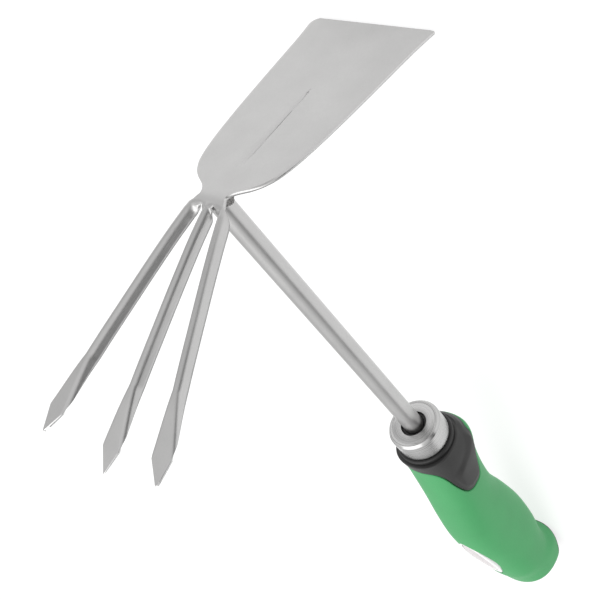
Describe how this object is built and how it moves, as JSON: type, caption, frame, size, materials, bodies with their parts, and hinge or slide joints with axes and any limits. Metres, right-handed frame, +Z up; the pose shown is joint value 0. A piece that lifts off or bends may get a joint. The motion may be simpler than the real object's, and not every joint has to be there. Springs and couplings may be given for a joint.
{
  "type": "hand cultivator",
  "caption": "One-hand garden cultivator: a stamped steel head with a hoe blade on one side and folded tines on the other, a round shaft and a two-material soft-grip handle.",
  "frame": {"origin": "on the table, under the centre of the bounding box, with the tool lying on its blade edge and its butt, tines up", "axes": "+X from the butt towards the head, +Z up, Y across the width; the shaft's centre line rises from the butt to the head by 15.5 degrees"},
  "size_m": [0.322, 0.067, 0.1877],
  "materials": {
    "satin_steel": "satin polished stainless sheet and bar",
    "turned_steel": "turned stainless with fine lathe lines",
    "weld_metal": "dark grainy weld",
    "pin_steel": "plain steel pin",
    "black_rubber": "matt black rubber",
    "dark_soft_grip": "dark grey soft-touch rubber",
    "green_grip": "green moulded plastic, semi-matt",
    "core_plastic": "hard grey moulding, not seen",
    "badge_rim": "bright silvery rim",
    "badge_face": "pale blank badge face",
    "cap_black": "black moulded plastic"
  },
  "bodies": {
    "root": {"head": "satin_steel", "shaft": "satin_steel", "weld_bead_near": "weld_metal", "weld_bead_far": "weld_metal", "ferrule": "turned_steel", "shaft_bush": "black_rubber", "neck_gasket": "black_rubber", "handle_core": "core_plastic", "tang_pin": "pin_steel", "grip_body": "green_grip", "soft_grip": "dark_soft_grip", "badge_bezel": "badge_rim", "badge_plate": "badge_face", "butt_cap": "cap_black"}
  },
  "joints": []
}
